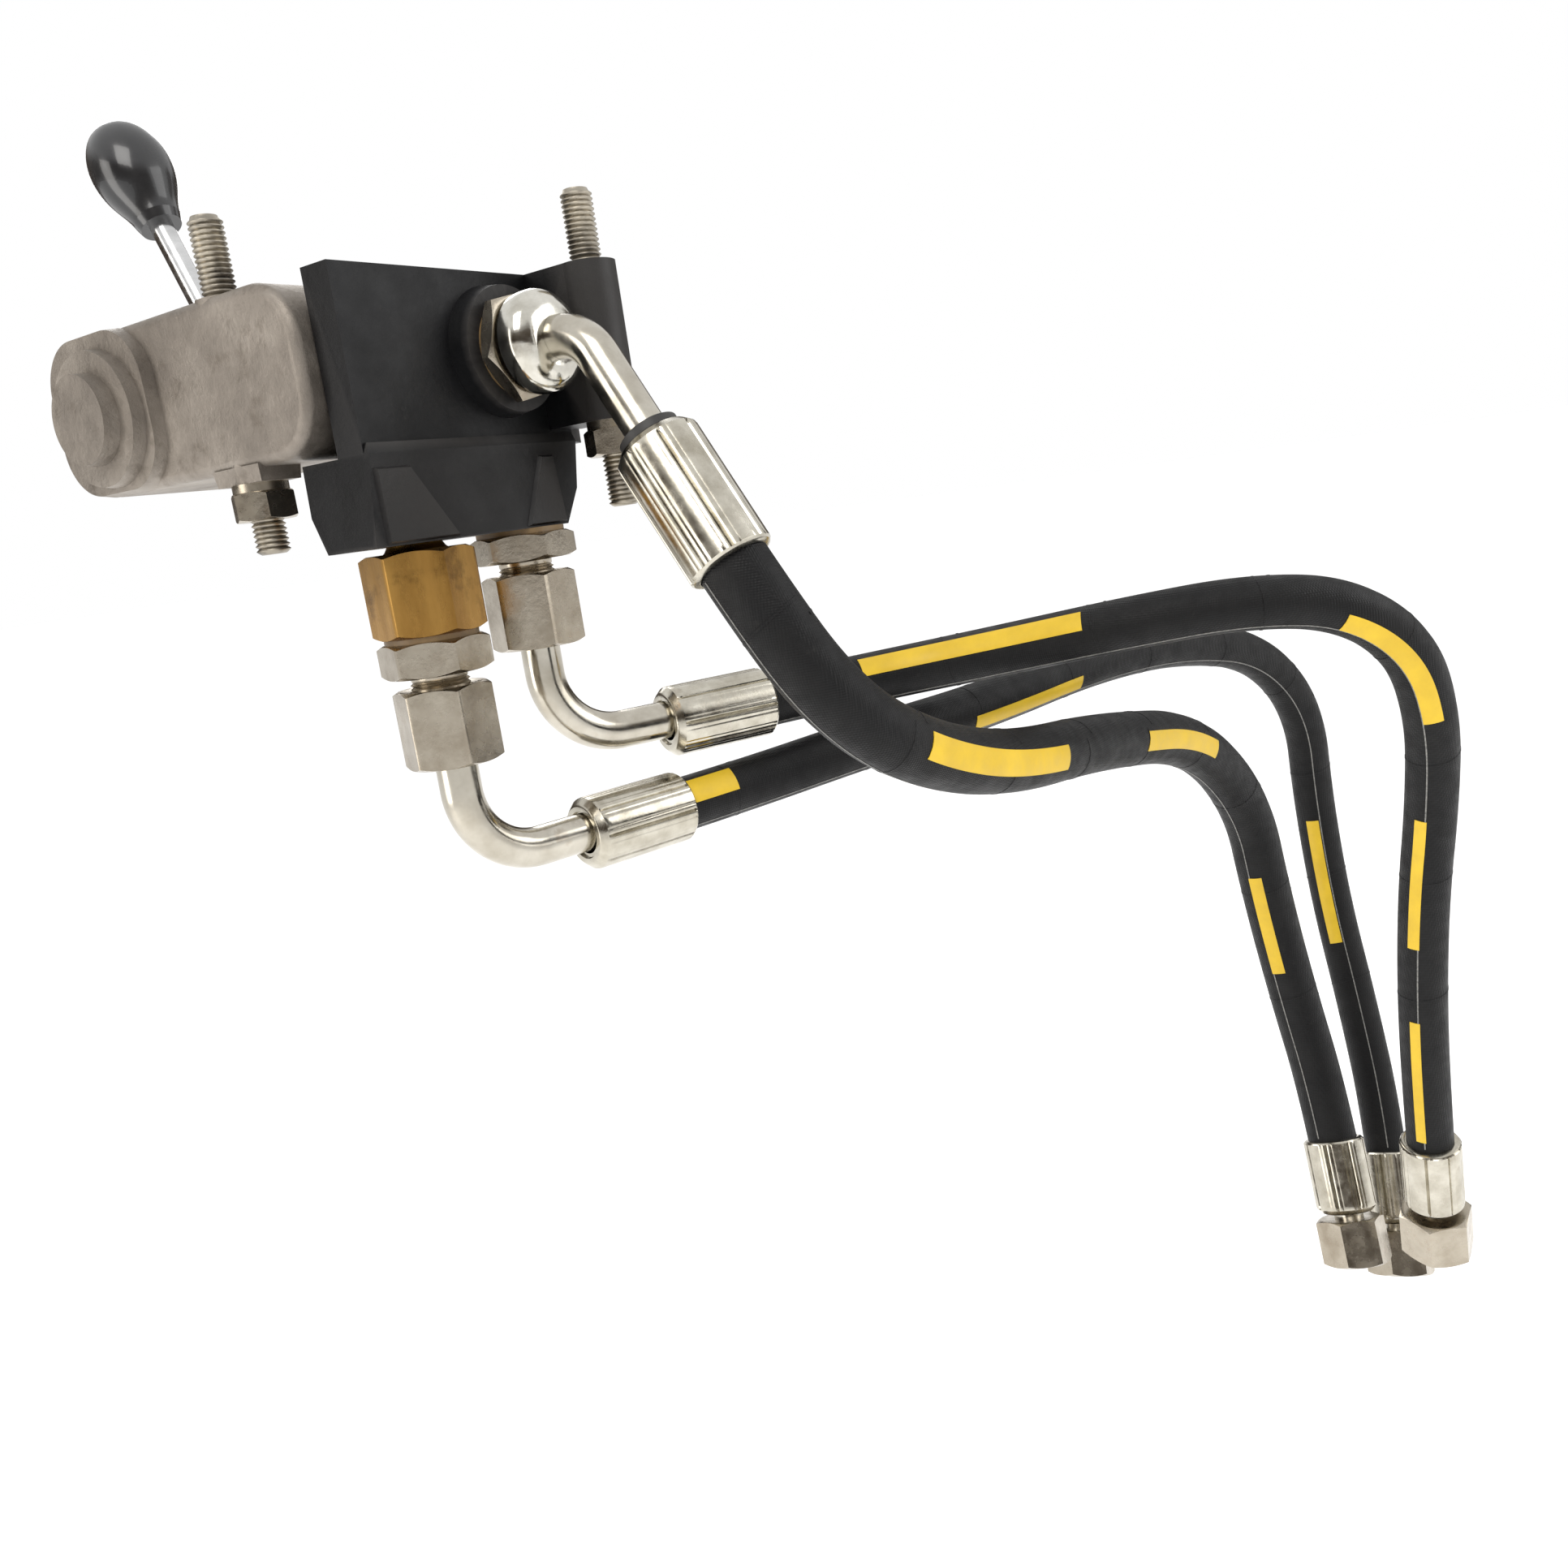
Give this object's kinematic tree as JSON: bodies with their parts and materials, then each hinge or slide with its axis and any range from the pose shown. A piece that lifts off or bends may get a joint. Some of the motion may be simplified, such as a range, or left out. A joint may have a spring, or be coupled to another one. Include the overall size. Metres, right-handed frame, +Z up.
{
  "type": "hydraulic flow control valve",
  "caption": "Lever-operated hydraulic flow control valve: cast body, side lever housing, bottom and side ports with swivel elbows and crimped hoses.",
  "frame": {"origin": "middle of the two-stud pattern in the plane of the top mounting face", "axes": "+Z up out of the mounting face, +X along the row of the two bottom ports, -Y towards the side port"},
  "size_m": [0.4677, 0.3904, 0.572],
  "materials": {
    "black_paint": "satin",
    "cast_aluminium": "rough",
    "zinc_steel": "satin",
    "dark_steel": "satin",
    "ground_steel": "polished",
    "bronze": "satin",
    "yellow_zinc": "satin",
    "seal_rubber": "matte",
    "bright_tube": "polished",
    "ferrule_steel": "polished",
    "hose_rubber": "matte",
    "knob_plastic": "gloss"
  },
  "bodies": {
    "valve_block": {"back_plate": "cast_aluminium", "compensator_plug": "zinc_steel", "compensator_spring": "dark_steel", "front_adapter": "zinc_steel", "front_bonded_seal": "seal_rubber", "front_elbow_tube": "bright_tube", "front_far_ferrule": "ferrule_steel", "front_far_nipple": "bright_tube", "front_ferrule": "ferrule_steel", "front_hose": "hose_rubber", "inner_bush": "bronze", "lever_housing": "cast_aluminium", "mounting_studs": "dark_steel", "outer_bush": "bronze", "plate_screws": "zinc_steel", "rear_adapter": "zinc_steel", "rear_bonded_seal": "seal_rubber", "rear_elbow_tube": "bright_tube", "rear_far_ferrule": "ferrule_steel", "rear_far_nipple": "bright_tube", "rear_ferrule": "ferrule_steel", "rear_hose": "hose_rubber", "restrictor_body": "yellow_zinc", "restrictor_spring": "dark_steel", "side_adapter": "zinc_steel", "side_bonded_seal": "seal_rubber", "side_elbow_tube": "bright_tube", "side_far_ferrule": "ferrule_steel", "side_far_nipple": "bright_tube", "side_ferrule": "ferrule_steel", "side_hose": "hose_rubber", "spring_washers": "zinc_steel", "stud_nuts": "zinc_steel", "valve_body": "black_paint"},
    "control_lever": {"control_shaft": "ground_steel", "drive_crank": "dark_steel", "drive_crank_pin": "dark_steel", "lever_hub": "dark_steel", "lever_arm": "ground_steel", "lever_knob": "knob_plastic"},
    "drag_link": {"drag_link": "dark_steel"},
    "metering_spool": {"metering_spool": "ground_steel", "spool_crank": "dark_steel", "spool_crank_pin": "dark_steel"},
    "compensator_spool": {"compensator_spool": "ground_steel"},
    "restrictor_poppet": {"restrictor_poppet": "dark_steel"},
    "front_swivel_nut": {"front_swivel_nut": "zinc_steel"},
    "rear_swivel_nut": {"rear_swivel_nut": "zinc_steel"},
    "side_swivel_nut": {"side_swivel_nut": "zinc_steel"},
    "front_far_nut": {"front_far_nut": "zinc_steel"},
    "rear_far_nut": {"rear_far_nut": "zinc_steel"},
    "side_far_nut": {"side_far_nut": "zinc_steel"}
  },
  "joints": [
    {"name": "lever_turn", "type": "hinge", "parent": "valve_block", "child": "control_lever", "pos_m": [-0.02, 0.086, -0.027], "axis": [1, 0, 0], "range_deg": [-30, 30]},
    {"name": "link_pin", "type": "hinge", "parent": "control_lever", "child": "drag_link", "pos_m": [-0.0245, 0.086, -0.04], "axis": [1, 0, 0], "range_deg": [-30, 30]},
    {"name": "spool_turn", "type": "hinge", "parent": "valve_block", "child": "metering_spool", "pos_m": [0, 0.014, -0.027], "axis": [1, 0, 0], "range_deg": [-30, 30]},
    {"name": "compensator_slide", "type": "slide", "parent": "valve_block", "child": "compensator_spool", "axis": [1, 0, 0], "range_m": [0, 0.006], "stiffness_N_per_m": 800, "springref_m": -0.002, "deforming": ["compensator_spring"]},
    {"name": "restrictor_lift", "type": "slide", "parent": "valve_block", "child": "restrictor_poppet", "axis": [0, 0, -1], "range_m": [0, 0.003], "stiffness_N_per_m": 400, "springref_m": -0.002, "deforming": ["restrictor_spring"]},
    {"name": "front_nut_turn", "type": "hinge", "parent": "valve_block", "child": "front_swivel_nut", "pos_m": [-0.0225, -0.005, -0.13], "axis": [0, 0, 1], "continuous": true},
    {"name": "rear_nut_turn", "type": "hinge", "parent": "valve_block", "child": "rear_swivel_nut", "pos_m": [0.0225, -0.005, -0.1], "axis": [0, 0, 1], "continuous": true},
    {"name": "side_nut_turn", "type": "hinge", "parent": "valve_block", "child": "side_swivel_nut", "pos_m": [0.016, -0.035, -0.024], "axis": [0, -1, 0], "continuous": true},
    {"name": "front_far_nut_turn", "type": "hinge", "parent": "valve_block", "child": "front_far_nut", "pos_m": [0.33955, -0.19609, -0.47873], "axis": [-0.4063, -0.1495, -0.9014], "continuous": true},
    {"name": "rear_far_nut_turn", "type": "hinge", "parent": "valve_block", "child": "rear_far_nut", "pos_m": [0.2895, -0.22233, -0.43327], "axis": [0.1874, 0.0156, -0.9822], "continuous": true},
    {"name": "side_far_nut_turn", "type": "hinge", "parent": "valve_block", "child": "side_far_nut", "pos_m": [0.30708, -0.18304, -0.45693], "axis": [-0.2758, -0.2057, -0.9389], "continuous": true}
  ],
  "couplings": [
    {"joint": "link_pin", "follows": "lever_turn", "ratio": -1},
    {"joint": "spool_turn", "follows": "lever_turn", "ratio": 1}
  ]
}
